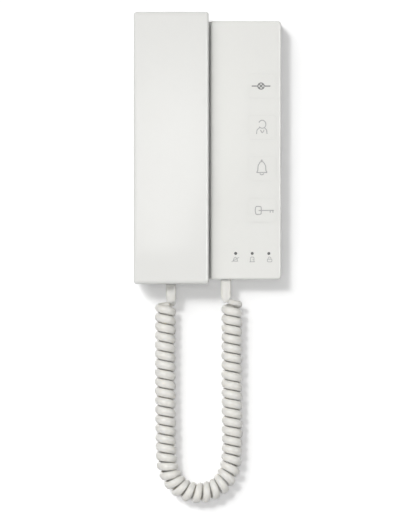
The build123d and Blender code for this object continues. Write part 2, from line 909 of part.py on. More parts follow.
with BuildPart() as handset_rear:
    add(handset_outside)
    add(handset_inside, mode=Mode.SUBTRACT)
    split(bisect_by=seam_plane, keep=Keep.BOTTOM)

    # Dish over the ear lug, with the receiver's fence and sound holes
    with BuildSketch(front(rest_depth)):
        with Locations((handset_x, ear_rise)):
            Circle(ear_dish_radius + wall)
    extrude(amount=ear_floor - rest_depth)
    with BuildSketch(front(rest_depth)):
        with Locations((handset_x, ear_rise)):
            Circle(ear_dish_radius)
    extrude(amount=ear_recess_depth, mode=Mode.SUBTRACT)
    with BuildSketch(front(ear_floor)):
        with Locations((handset_x, ear_rise)):
            Circle(receiver_radius + seat_gap + fence_wall)
            Circle(receiver_radius + seat_gap, mode=Mode.SUBTRACT)
    extrude(amount=receiver_fence_height)
    with BuildSketch(front(rest_depth)):
        with Locations((handset_x, ear_rise)):
            for ring, holes in zip(ear_ring_radii, ear_ring_count):
                with PolarLocations(ring, holes):
                    Circle(ear_hole_radius)
    extrude(amount=ear_floor - rest_depth, mode=Mode.SUBTRACT)

    # Recess over the mouth lug, with the microphone's holes
    with BuildSketch(front(rest_depth)):
        with Locations((handset_x, mouth_rise)):
            RectangleRounded(mouth_dish_width + 2 * wall, mouth_dish_height + 2 * wall, rear_corner)
    extrude(amount=mouth_floor - rest_depth)
    with BuildSketch(front(rest_depth)):
        with Locations((handset_x, mouth_rise)):
            RectangleRounded(mouth_dish_width, mouth_dish_height, base_corner)
    extrude(amount=mouth_recess_depth, mode=Mode.SUBTRACT)
    with BuildSketch(front(rest_depth)):
        with Locations((handset_x, mouth_rise)):
            with GridLocations(mouth_hole_pitch, 0, mouth_hole_count, 1):
                Circle(mouth_hole_radius)
    extrude(amount=mouth_floor - rest_depth, mode=Mode.SUBTRACT)

    # Screw wells from the grip side, and the cord's port
    with BuildSketch(front(grip_depth)):
        with Locations(*handset_screw_places):
            Circle(screw_boss_radius)
    extrude(amount=seam_depth - grip_depth)
    with BuildSketch(front(grip_depth)):
        with Locations(*handset_screw_places):
            Circle(screw_head_radius + hole_gap)
    extrude(amount=wall, mode=Mode.SUBTRACT)
    with BuildSketch(front(grip_depth)):
        with Locations(*handset_screw_places):
            Circle(screw_radius + hole_gap)
    extrude(amount=seam_depth - grip_depth, mode=Mode.SUBTRACT)
    extrude(port_outline(handset_end, handset_bottom), amount=wall + 2 * overrun, mode=Mode.SUBTRACT)
save(handset_rear, "handset_rear")

with BuildPart() as handset_screws:
    with BuildSketch(front(grip_inside)):
        with Locations(*handset_screw_places):
            Circle(screw_head_radius)
    extrude(amount=-screw_head_height)
    with BuildSketch(front(grip_inside)):
        with Locations(*handset_screw_places):
            Circle(screw_radius)
    extrude(amount=seam_depth - grip_inside + screw_length / 2)
    with BuildSketch(front(grip_inside - screw_head_height)):
        with Locations(*handset_screw_places):
            Rectangle(2 * screw_head_radius + overrun, screw_slot_width)
            Rectangle(screw_slot_width, 2 * screw_head_radius + overrun)
    extrude(amount=screw_slot_depth, mode=Mode.SUBTRACT)
save(handset_screws, "handset_screws")


# Receiver and microphone inside the handset

with BuildPart() as receiver_gasket:
    with BuildSketch(front(ear_floor)):
        with Locations((handset_x, ear_rise)):
            Circle(receiver_radius)
            Circle(receiver_radius - gasket_width, mode=Mode.SUBTRACT)
    extrude(amount=gasket_thickness)
save(receiver_gasket, "receiver_gasket")

with BuildPart() as receiver:
    with BuildSketch(front(ear_floor + gasket_thickness)):
        with Locations((handset_x, ear_rise)):
            Circle(receiver_radius)
    extrude(amount=receiver_height)
    with BuildSketch(front(ear_floor + gasket_thickness + receiver_height)):
        with Locations((handset_x, ear_rise)):
            Circle(receiver_magnet_radius)
    extrude(amount=receiver_magnet_height)
save(receiver, "receiver")

with BuildPart() as microphone_boot:
    with BuildSketch(front(mouth_floor)):
        with Locations((handset_x, mouth_rise)):
            Circle(mic_radius + mic_boot_wall)
    extrude(amount=mic_boot_floor + mic_height)
    with BuildSketch(front(mouth_floor + mic_boot_floor)):
        with Locations((handset_x, mouth_rise)):
            Circle(mic_radius)
    extrude(amount=mic_height, mode=Mode.SUBTRACT)
    with BuildSketch(front(mouth_floor)):
        with Locations((handset_x, mouth_rise)):
            Circle(mic_radius / 2)
    extrude(amount=mic_boot_floor, mode=Mode.SUBTRACT)
save(microphone_boot, "microphone_boot")

with BuildPart() as microphone:
    with BuildSketch(front(mouth_floor + mic_boot_floor)):
        with Locations((handset_x, mouth_rise)):
            Circle(mic_radius - close_gap)
    extrude(amount=mic_height)
save(microphone, "microphone")
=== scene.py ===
import logging
import math
from bisect import bisect_right
from dataclasses import dataclass
from enum import Enum
from functools import cached_property

import bmesh
import bpy
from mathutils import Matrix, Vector


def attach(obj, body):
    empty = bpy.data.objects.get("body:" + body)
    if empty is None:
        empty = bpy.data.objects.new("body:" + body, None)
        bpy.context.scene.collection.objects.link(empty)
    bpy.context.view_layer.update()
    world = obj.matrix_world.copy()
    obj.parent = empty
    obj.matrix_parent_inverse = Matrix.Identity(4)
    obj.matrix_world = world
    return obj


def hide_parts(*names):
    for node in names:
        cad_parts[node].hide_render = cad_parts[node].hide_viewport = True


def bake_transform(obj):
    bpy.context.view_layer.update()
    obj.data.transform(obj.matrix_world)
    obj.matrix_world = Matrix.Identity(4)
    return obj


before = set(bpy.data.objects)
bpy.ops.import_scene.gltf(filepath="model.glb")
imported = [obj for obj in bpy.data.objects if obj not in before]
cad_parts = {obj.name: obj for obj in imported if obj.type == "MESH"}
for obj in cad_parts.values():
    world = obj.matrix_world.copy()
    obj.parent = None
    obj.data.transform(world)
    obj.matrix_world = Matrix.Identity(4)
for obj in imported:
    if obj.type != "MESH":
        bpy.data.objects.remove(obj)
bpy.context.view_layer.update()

LOG = logging.getLogger("intercom")

# Places that the pieces share, in metres
CONSOLE_LEFT = 0.001
CONSOLE_FACE = -0.032
BASE_BOTTOM = -0.0967
BASE_PLUG_FOOT = -0.0968
HANDSET_PLUG_FOOT = -0.1003
PICTURE_X = 0.0004
PICTURE_Z = -0.0822
PICTURE_HEIGHT = 0.390

Colour = tuple[float, float, float]
Stroke = list[tuple[float, float]]
Piece = bpy.types.Object
Node = bpy.types.Node
Socket = bpy.types.NodeSocket
Sockets = bpy.types.NodeOutputs


def mesh_piece(name: str, verts: list[Vector], faces: list[tuple[int, ...]]) -> Piece:
    """Make a linked mesh object with its faces turned outwards.

    Args:
        name: The object's name.
        verts: Corner points in metres.
        faces: Corner numbers of each face.

    Returns:
        The new object, shaded smooth.
    """
    mesh = bpy.data.meshes.new(name)
    mesh.from_pydata([tuple(v) for v in verts], [], faces)
    shape = bmesh.new()
    shape.from_mesh(mesh)
    bmesh.ops.recalc_face_normals(shape, faces=shape.faces)
    shape.to_mesh(mesh)
    shape.free()
    mesh.polygons.foreach_set("use_smooth", [True] * len(mesh.polygons))
    piece = bpy.data.objects.new(name, mesh)
    bpy.context.scene.collection.objects.link(piece)
    return piece


def loft_faces(rings: int, sides: int, first: int = 0, closed: bool = False) -> list[tuple[int, ...]]:
    """Faces that join rings of corner points one after another.

    Args:
        rings: How many rings there are.
        sides: Corner points in each ring.
        first: Number of the first corner point.
        closed: Whether the last ring joins the first; otherwise both ends get a cap.

    Returns:
        The corner numbers of each face.
    """
    faces = []
    for ring in range(rings if closed else rings - 1):
        here = first + ring * sides
        there = first + (ring + 1) % rings * sides
        for side in range(sides):
            after = (side + 1) % sides
            faces.append((here + side, here + after, there + after, there + side))
    if not closed:
        faces.append(tuple(range(first, first + sides)))
        faces.append(tuple(range(first + (rings - 1) * sides, first + rings * sides)))
    return faces


def oval(middle: Vector, across: Vector, other: Vector, squareness: float, sides: int) -> list[Vector]:
    """A ring of points, from a lean oval to a rounded rectangle.

    Args:
        middle: The ring's centre.
        across: Its half width.
        other: Its half height.
        squareness: 2 for a plain ellipse, and more for fuller corners.
        sides: How many points it has.

    Returns:
        The ring's points.
    """
    points = []
    for side in range(sides):
        angle = 2 * math.pi * side / sides
        cosine, sine = math.cos(angle), math.sin(angle)
        x = math.copysign(abs(cosine) ** (2 / squareness), cosine)
        y = math.copysign(abs(sine) ** (2 / squareness), sine)
        points.append(middle + across * x + other * y)
    return points


class Track:
    """A line of points that is read at any distance along it, and carries on past its ends."""

    def __init__(self, points: list[Vector]) -> None:
        """Measure the line."""
        self.points = points
        self.lengths = [0.0]
        for before, after in zip(points, points[1:]):
            self.lengths.append(self.lengths[-1] + (after - before).length)

    def at(self, distance: float) -> Vector:
        """The point at a distance along the line."""
        number = min(max(bisect_right(self.lengths, distance) - 1, 0), len(self.points) - 2)
        share = (distance - self.lengths[number]) / (self.lengths[number + 1] - self.lengths[number])
        return self.points[number].lerp(self.points[number + 1], share)

    def way(self, distance: float, reach: float) -> Vector:
        """The line's direction at a distance, felt over a reach to both sides."""
        return (self.at(distance + reach) - self.at(distance - reach)).normalized()

    def spread(self, count: int) -> tuple[list[Vector], list[Vector]]:
        """Space points evenly along the line.

        Args:
            count: How many steps to make.

        Returns:
            The evenly spaced points and the line's direction at each.
        """
        reach = self.lengths[-1] / len(self.points)
        places = [self.lengths[-1] * k / count for k in range(count + 1)]
        return [self.at(place) for place in places], [self.way(place, reach) for place in places]


# Shader node groups that several finishes share


class NodeBench:
    """Adds and joins the nodes of one node tree."""

    def __init__(self, tree: bpy.types.NodeTree) -> None:
        """Start on a tree, emptied first."""
        self.tree = tree
        tree.nodes.clear()

    def add(self, kind: str, settings: dict | None = None, **values: object) -> Node:
        """Add a node.

        Args:
            kind: The node's type without its ShaderNode prefix, or a full type name.
            settings: Attributes to set on the node itself.
            values: Input values or sockets, by input name with underscores for spaces.

        Returns:
            The new node.
        """
        full = kind if kind.startswith("Node") else "ShaderNode" + kind
        node = self.tree.nodes.new(full)
        for key, value in (settings or {}).items():
            setattr(node, key, value)
        for key, value in values.items():
            self.feed(node, key.replace("_", " "), value)
        return node

    def feed(self, node: Node, socket: str | int, value: object) -> None:
        """Link a socket to an input, or set the input's own value.

        Args:
            node: The node that takes the value.
            socket: The input's name or number.
            value: A socket to link, or a plain value.
        """
        target = node.inputs[socket]
        if isinstance(value, Socket):
            self.tree.links.new(value, target)
        else:
            target.default_value = value

    def maths(self, operation: str, first: object, second: object = 0.0, clamp: bool = False) -> Socket:
        """A maths node's result.

        Args:
            operation: The operation's name.
            first: First value or socket.
            second: Second value or socket.
            clamp: Whether the result stays between 0 and 1.

        Returns:
            The result's socket.
        """
        node = self.add("Math", {"operation": operation, "use_clamp": clamp})
        self.feed(node, 0, first)
        self.feed(node, 1, second)
        return node.outputs[0]

    def mixed(self, factor: object, first: object, second: object) -> Socket:
        """Mix two colours.

        Args:
            factor: Share of the second colour, as a value or socket.
            first: First colour or socket.
            second: Second colour or socket.

        Returns:
            The mixed colour's socket.
        """
        node = self.add("Mix", {"data_type": "RGBA"})
        self.feed(node, 0, factor)
        self.feed(node, 6, first)
        self.feed(node, 7, second)
        return node.outputs[2]

    def ranged(self, value: object, low: float, high: float, to_low: float, to_high: float) -> Socket:
        """Map a value from one range to another, kept inside the second."""
        node = self.add("MapRange", Value=value, From_Min=low, From_Max=high, To_Min=to_low, To_Max=to_high)
        return node.outputs[0]

    def switched(self, factor: object, first: Node, second: Node) -> Socket:
        """The one of two shaders that a factor picks."""
        node = self.add("MixShader", Fac=factor)
        self.feed(node, 1, first.outputs[0])
        self.feed(node, 2, second.outputs[0])
        return node.outputs[0]

    def noise(self, where: object, scale: object, detail: float) -> Socket:
        """A cloudy value, from 0 to 1, at a position."""
        return self.add("TexNoise", Vector=where, Scale=scale, Detail=detail).outputs["Fac"]

    def coat(self, shader: Node, source: Sockets) -> None:
        """Give a shader the colour and the roughness of a group."""
        self.feed(shader, "Base Color", source["Colour"])
        self.feed(shader, "Roughness", source["Roughness"])

    def bump(self, shader: Node, height: object, depth: float) -> None:
        """Give a shader a relief, from its height of 0 to 1 and its depth in metres."""
        self.feed(shader, "Normal", self.add("Bump", Strength=1.0, Distance=depth, Height=height).outputs[0])


class Effects:
    """Builds each shared shader node group once and hands it out."""

    def start(self, name: str, inputs: dict[str, object], outputs: dict[str, str]) -> tuple[NodeBench, Sockets]:
        """Make an empty group with named sockets.

        Args:
            name: The group's name.
            inputs: Default value of each input, whose form gives the socket's type.
            outputs: Socket type of each output.

        Returns:
            The group's bench and the sockets of its inputs.
        """
        tree = bpy.data.node_groups.new(name, "ShaderNodeTree")
        bench = NodeBench(tree)
        for label, value in inputs.items():
            kind = "Float"
            if isinstance(value, tuple):
                kind = "Color" if len(value) == 4 else "Vector"
            socket = tree.interface.new_socket(label, in_out="INPUT", socket_type="NodeSocket" + kind)
            socket.default_value = value
        for label, kind in outputs.items():
            tree.interface.new_socket(label, in_out="OUTPUT", socket_type="NodeSocket" + kind)
        return bench, bench.add("NodeGroupInput").outputs

    @cached_property
    def moulded_skin(self) -> bpy.types.NodeTree:
        """Slow colour drift, uneven gloss and the fine grain of a moulded surface.

        Returns:
            The node group.
        """
        bench, given = self.start(
            "Moulded skin",
            {
                "Position": (0.0, 0.0, 0.0), "Colour": (0.8, 0.8, 0.8, 1.0), "Drift": 0.02, "Drift Size": 18.0,
                "Roughness": 0.3, "Gloss Swing": 0.03, "Grain Size": 1200.0,
            },
            {"Colour": "Color", "Roughness": "Float", "Height": "Float"},
        )
        where = given["Position"]
        slow = bench.noise(where, scale=given["Drift Size"], detail=3.0)
        shade = bench.maths("MULTIPLY", bench.maths("SUBTRACT", slow, 0.5), given["Drift"])
        tone = bench.add("HueSaturation", Color=given["Colour"], Value=bench.maths("ADD", shade, 1.0))
        haze = bench.noise(where, scale=60.0, detail=4.0)
        swing = bench.maths("MULTIPLY", bench.maths("SUBTRACT", haze, 0.5), given["Gloss Swing"])
        bench.add(
            "NodeGroupOutput", Colour=tone.outputs[0],
            Roughness=bench.maths("ADD", given["Roughness"], swing, clamp=True),
            Height=bench.noise(where, scale=given["Grain Size"], detail=2.0))
        return bench.tree

    @cached_property
    def handling(self) -> bpy.types.NodeTree:
        """Faint dust and finger marks: cloudy patches with fine specks in them.

        Returns:
            The node group.
        """
        bench, given = self.start(
            "Handling",
            {
                "Position": (0.0, 0.0, 0.0), "Colour": (0.8, 0.8, 0.8, 1.0), "Dust": (0.55, 0.53, 0.5, 1.0),
                "Amount": 0.1, "Roughness": 0.3,
            },
            {"Colour": "Color", "Roughness": "Float"},
        )
        where = given["Position"]
        clouds = bench.noise(where, scale=35.0, detail=8.0)
        patches = bench.ranged(clouds, 0.52, 0.75, 0.0, 1.0)
        specks = bench.add("TexVoronoi", Vector=where, Scale=420.0).outputs["Distance"]
        dots = bench.ranged(specks, 0.06, 0.12, 1.0, 0.0)
        soiled = bench.maths("MAXIMUM", bench.maths("MULTIPLY", patches, 0.5), bench.maths("MULTIPLY", dots, patches))
        mask = bench.maths("MULTIPLY", soiled, given["Amount"], clamp=True)
        dull = bench.maths("MULTIPLY", mask, 0.5)
        bench.add(
            "NodeGroupOutput", Colour=bench.mixed(mask, given["Colour"], given["Dust"]),
            Roughness=bench.maths("ADD", given["Roughness"], dull, clamp=True))
        return bench.tree

    @cached_property
    def drawn_lines(self) -> bpy.types.NodeTree:
        """The fine parallel lines that turning, rolling or drawing leaves on metal.

        Returns:
            The node group.
        """
        bench, given = self.start(
            "Drawn lines",
            {"Position": (0.0, 0.0, 0.0), "Colour": (0.6, 0.6, 0.6, 1.0), "Roughness": 0.3, "Swing": 0.15},
            {"Colour": "Color", "Roughness": "Float", "Height": "Float"},
        )
        stretched = bench.add("Mapping", Vector=given["Position"], Scale=(4000.0, 300.0, 4000.0))
        lines = bench.noise(stretched.outputs[0], scale=1.0, detail=3.0)
        centred = bench.maths("SUBTRACT", lines, 0.5)
        swing = bench.maths("MULTIPLY", centred, given["Swing"])
        shade = bench.maths("MULTIPLY", centred, 0.2)
        tone = bench.add("HueSaturation", Color=given["Colour"], Value=bench.maths("ADD", shade, 1.0))
        bench.add(
            "NodeGroupOutput", Colour=tone.outputs[0],
            Roughness=bench.maths("ADD", given["Roughness"], swing, clamp=True), Height=lines)
        return bench.tree


EFFECTS = Effects()


def solid(colour: Colour) -> tuple[float, float, float, float]:
    """A colour with full alpha."""
    return (*colour, 1.0)


def blank_material(name: str) -> tuple[bpy.types.Material, NodeBench]:
    """Start a material and the bench of its empty node tree."""
    material = bpy.data.materials.new(name)
    material.use_nodes = True
    return material, NodeBench(material.node_tree)


class Grain(Enum):
    """How a mould leaves a surface: the grain's scale, its depth in metres, and how far the gloss swings."""

    POLISHED = (700.0, 0.0000015, 0.015)
    SATIN = (2200.0, 0.000006, 0.03)
    SPARKED = (1500.0, 0.00003, 0.06)


@dataclass(frozen=True)
class Finish:
    """What all finishes share: a name, and a material with one main shader."""

    name: str

    def material(self) -> bpy.types.Material:
        """Build the finish.

        Returns:
            The material.
        """
        made, bench = blank_material(self.name)
        shader = bench.add("BsdfPrincipled")
        bench.add("OutputMaterial", Surface=shader.outputs[0])
        self.paint(bench, shader, bench.add("TexCoord").outputs["Object"])
        return made

    def paint(self, bench: NodeBench, shader: Node, where: Socket) -> None:
        """Join the look to the shader.

        Args:
            bench: The material's bench.
            shader: The main shader.
            where: The object's own coordinates.
        """
        raise NotImplementedError


@dataclass(frozen=True)
class MouldedFinish(Finish):
    """Moulded plastic or rubber, from polished to spark-textured."""

    colour: Colour
    roughness: float
    grain: Grain
    drift: float = 0.02
    dust: float = 0.06
    dust_colour: Colour = (0.52, 0.50, 0.46)
    softness: float = 0.0
    milkiness: float = 0.0
    milk_reach: Colour = (1.0, 0.97, 0.9)
    milk_depth: float = 0.0022
    sheen: float = 0.4

    def paint(self, bench: NodeBench, shader: Node, where: Socket) -> None:
        """Join the look to the shader."""
        size, depth, swing = self.grain.value
        skin = bench.add(
            "Group", {"node_tree": EFFECTS.moulded_skin}, Position=where, Colour=solid(self.colour), Drift=self.drift,
            Roughness=self.roughness, Gloss_Swing=swing, Grain_Size=size)
        marks = bench.add(
            "Group", {"node_tree": EFFECTS.handling}, Position=where, Colour=skin.outputs["Colour"],
            Dust=solid(self.dust_colour), Amount=self.dust, Roughness=skin.outputs["Roughness"])
        bench.coat(shader, marks.outputs)
        bench.bump(shader, skin.outputs["Height"], depth)
        shader.inputs["Sheen Weight"].default_value = self.softness
        shader.inputs["Sheen Roughness"].default_value = self.sheen
        shader.inputs["Subsurface Weight"].default_value = self.milkiness
        shader.inputs["Subsurface Radius"].default_value = self.milk_reach
        shader.inputs["Subsurface Scale"].default_value = self.milk_depth


@dataclass(frozen=True)
class MetalFinish(Finish):
    """Plated, drawn or bare metal with fine tool lines."""

    colour: Colour
    roughness: float
    swing: float = 0.15
    depth: float = 0.000004

    def paint(self, bench: NodeBench, shader: Node, where: Socket) -> None:
        """Join the look to the shader."""
        lines = bench.add(
            "Group", {"node_tree": EFFECTS.drawn_lines}, Position=where, Colour=solid(self.colour),
            Roughness=self.roughness, Swing=self.swing)
        bench.coat(shader, lines.outputs)
        bench.bump(shader, lines.outputs["Height"], self.depth)
        shader.inputs["Metallic"].default_value = 1.0


@dataclass(frozen=True)
class ClearFinish(Finish):
    """Clear or smoked plastic, with faint flow marks."""

    colour: Colour
    roughness: float
    clearness: float
    index: float = 1.49
    depth: float = 0.000004

    def paint(self, bench: NodeBench, shader: Node, where: Socket) -> None:
        """Join the look to the shader."""
        skin = bench.add(
            "Group", {"node_tree": EFFECTS.moulded_skin}, Position=where, Colour=solid(self.colour), Drift=0.06,
            Drift_Size=150.0, Roughness=self.roughness, Gloss_Swing=0.04, Grain_Size=500.0)
        bench.coat(shader, skin.outputs)
        bench.bump(shader, skin.outputs["Height"], self.depth)
        shader.inputs["Transmission Weight"].default_value = self.clearness
        shader.inputs["IOR"].default_value = self.index


@dataclass(frozen=True)
class FoamFinish(Finish):
    """Open-celled black foam, with painted shade in the cell hollows and painted light on the cell walls."""

    colour: Colour
    cell: float = 900.0
    # How much lighter the cell walls are painted than the hollows: painted light
    painted_cell_light: float = 2.2
    depth: float = 0.0002
    roughness: float = 0.95

    def paint(self, bench: NodeBench, shader: Node, where: Socket) -> None:
        """Join the look to the shader."""
        cells = bench.add("TexVoronoi", Vector=where, Scale=self.cell).outputs["Distance"]
        # Painted light and shade: the colour is darkest in each cell's hollow and runs to a lighter copy at its walls
        painted_cell_light = tuple(min(1.0, c * self.painted_cell_light) for c in self.colour)
        bench.feed(shader, "Base Color", bench.mixed(cells, solid(self.colour), solid(painted_cell_light)))
        bench.bump(shader, cells, self.depth)
        shader.inputs["Roughness"].default_value = self.roughness


@dataclass(frozen=True)
class BoardFinish(Finish):
    """Green solder mask over copper tracks, with bare pads."""

    mask: Colour
    track: Colour
    pad: Colour
    pitch: float = 260.0
    depth: float = 0.00003
    gloss: tuple[float, float] = (0.28, 0.4)

    def paint(self, bench: NodeBench, shader: Node, where: Socket) -> None:
        """Join the look to the shader."""
        lanes = bench.add("TexVoronoi", {"distance": "MANHATTAN", "feature": "F2"}, Vector=where, Scale=self.pitch)
        near = bench.add("TexVoronoi", {"distance": "MANHATTAN"}, Vector=where, Scale=self.pitch)
        edge = bench.maths("SUBTRACT", lanes.outputs["Distance"], near.outputs["Distance"])
        tracks = bench.ranged(edge, 0.10, 0.16, 1.0, 0.0)
        pads = bench.ranged(near.outputs["Distance"], 0.10, 0.14, 1.0, 0.0)
        covered = bench.mixed(tracks, solid(self.mask), solid(self.track))
        bench.feed(shader, "Base Color", bench.mixed(pads, covered, solid(self.pad)))
        bench.bump(shader, bench.maths("MAXIMUM", tracks, pads), self.depth)
        bench.feed(shader, "Roughness", bench.ranged(pads, 0.0, 1.0, *self.gloss))


@dataclass(frozen=True)
class InkFinish(Finish):
    """Grey pad-printed ink, a little uneven in its cover."""

    ink: Colour
    cover: float = 0.25
    speckle: float = 1800.0
    depth: float = 0.000006
    roughness: float = 0.45

    def paint(self, bench: NodeBench, shader: Node, where: Socket) -> None:
        """Join the look to the shader."""
        spread = bench.noise(where, scale=self.speckle, detail=3.0)
        thin = tuple(c + (1.0 - c) * self.cover for c in self.ink)
        bench.feed(shader, "Base Color", bench.mixed(spread, solid(self.ink), solid(thin)))
        bench.bump(shader, spread, self.depth)
        shader.inputs["Roughness"].default_value = self.roughness


HOUSING = MouldedFinish("housing white", (0.722, 0.721, 0.694), 0.07, Grain.POLISHED)
HANDSET_WHITE = MouldedFinish("handset white", (0.722, 0.721, 0.698), 0.06, Grain.POLISHED)
KEY_WHITE = MouldedFinish("key white", (0.722, 0.721, 0.694), 0.07, Grain.POLISHED)
PLATE_WHITE = MouldedFinish("wall plate white", (0.74, 0.74, 0.72), 0.5, Grain.SPARKED, dust=0.2)
JACKET = MouldedFinish("cord jacket", (0.725, 0.715, 0.680), 0.34, Grain.SATIN, softness=0.15, milkiness=0.8)
PIN_BLACK = MouldedFinish("pin black", (0.03, 0.03, 0.033), 0.45, Grain.SATIN, dust=0.1)
SWITCH_BLACK = MouldedFinish("switch black", (0.035, 0.035, 0.038), 0.5, Grain.SPARKED, dust=0.15)
JACK_BLACK = MouldedFinish("jack black", (0.03, 0.03, 0.032), 0.4, Grain.SPARKED, dust=0.1)
TERMINAL_GREEN = MouldedFinish("terminal green", (0.03, 0.22, 0.07), 0.4, Grain.SATIN)
CAPSULE_RUBBER = MouldedFinish("capsule rubber", (0.025, 0.025, 0.025), 0.7, Grain.SPARKED, softness=0.1)
SCREW_STEEL = MetalFinish("plated screw steel", (0.60, 0.60, 0.61), 0.28)
SPRING_STEEL = MetalFinish("spring steel", (0.50, 0.50, 0.52), 0.35)
CAN_METAL = MetalFinish("capsule can", (0.75, 0.75, 0.76), 0.3)
FRAME_BLACK = MouldedFinish("speaker frame black", (0.03, 0.03, 0.03), 0.35, Grain.SATIN)
PLUG_CLEAR = ClearFinish("plug clear", (0.93, 0.95, 0.95), 0.08, 0.85, index=1.58)
LIGHT_SMOKE = ClearFinish("light pipe smoke", (0.10, 0.10, 0.10), 0.15, 0.35)
LED_RESIN = ClearFinish("led resin", (0.90, 0.88, 0.60), 0.2, 0.5)
FOAM = FoamFinish("foam black", (0.03, 0.03, 0.03))
BOARD = BoardFinish("board green", (0.015, 0.13, 0.04), (0.03, 0.22, 0.07), (0.62, 0.60, 0.55))
SIGN_INK = InkFinish("sign ink", (0.27, 0.27, 0.27))
DARK_INK = InkFinish("dark sign ink", (0.13, 0.13, 0.13), cover=0.12)

NODE_FINISHES: dict[Finish, list[str]] = {
    HOUSING: ["base_front"],
    PLATE_WHITE: ["base_back"],
    HANDSET_WHITE: ["handset_front", "handset_rear"],
    KEY_WHITE: ["aux_key", "guard_key", "bell_key", "door_key", "hook_button"],
    PIN_BLACK: ["aux_plunger", "guard_plunger", "bell_plunger", "door_plunger"],
    SWITCH_BLACK: ["key_switches", "hook_switch"],
    JACK_BLACK: ["base_jack", "handset_jack"],
    TERMINAL_GREEN: ["terminal_block"],
    CAPSULE_RUBBER: ["microphone_boot"],
    SCREW_STEEL: ["terminal_screws", "board_screws", "cover_screws", "handset_screws"],
    SPRING_STEEL: ["hook_spring"],
    CAN_METAL: ["microphone"],
    FRAME_BLACK: ["call_speaker", "receiver"],
    PLUG_CLEAR: ["base_plug", "handset_plug"],
    LIGHT_SMOKE: ["light_pipes"],
    LED_RESIN: ["status_leds"],
    FOAM: ["speaker_gasket", "receiver_gasket"],
    BOARD: ["circuit_board"],
    JACKET: ["curly_cord", "base_boot", "handset_boot"],
}


# The room: camera, lamps, cards, wall and floor


@dataclass(frozen=True)
class Lamp:
    """A soft distant lamp, with the way that its light travels and its width in the sky in degrees."""

    name: str
    way: Colour
    strength: float
    spread: float
    mirrored: bool = True

    def place(self) -> None:
        """Put the lamp in the scene, shown by the gloss only where it is mirrored."""
        lamp = bpy.data.lights.new(self.name, "SUN")
        lamp.energy = self.strength
        lamp.angle = math.radians(self.spread)
        stand = bpy.data.objects.new(self.name, lamp)
        stand.rotation_mode = "QUATERNION"
        stand.rotation_quaternion = Vector(self.way).to_track_quat("-Z", "Y")
        stand.visible_glossy = self.mirrored
        bpy.context.scene.collection.objects.link(stand)


@dataclass(frozen=True)
class Card:
    """A white card far in front, which only shows as a soft window in the gloss and fades out upwards."""

    name: str
    glow: float
    fade: tuple[float, float]
    corners: tuple[tuple[float, float], ...]

    def material(self) -> bpy.types.Material:
        """Build the card's uneven glow.

        Returns:
            The material.
        """
        made, bench = blank_material(self.name)
        where = bench.add("TexCoord").outputs["Object"]
        height = bench.add("SeparateXYZ", Vector=where).outputs["Z"]
        clouds = bench.noise(where, scale=9.0, detail=2.0)
        uneven = bench.ranged(clouds, 0.3, 0.7, 0.94, 1.04)
        level = bench.maths("MULTIPLY", bench.ranged(height, *self.fade, self.glow, 1.0), uneven)
        light = bench.add("Emission", Strength=level)
        bench.add("OutputMaterial", Surface=light.outputs[0])
        return made


LAMPS = [
    Lamp("window light", (0.24, 1.0, -0.29), 1.20, 9.0),
    Lamp("wide window light", (0.48, 1.0, -0.45), 0.64, 24.0),
    Lamp("front light", (0.02, 1.0, -0.04), 0.42, 8.0, mirrored=False),
    Lamp("side light", (-1.0, -0.1, -0.25), 0.35, 25.0, mirrored=False),
    Lamp("back light", (0.3, -1.0, -0.5), 1.2, 25.0),
]
CARDS = [
    Card(
        "handset card", 3.2, (0.14, 0.40),
        ((-0.0900, -0.2506), (-0.0299, -0.2476), (-0.0006, -0.0757), (0.0005, 0.42), (-0.0900, 0.42))),
    Card(
        "console card", 2.2, (0.09, 0.16),
        ((0.0029, -0.0213), (0.0399, 0.0758), (0.0591, 0.1255), (0.0591, 0.17), (0.0029, 0.17))),
    Card("edge card", 8.0, (2.0, 3.0), ((1.6, -0.6), (6.0, -0.6), (6.0, 0.4), (1.6, 0.4))),
]


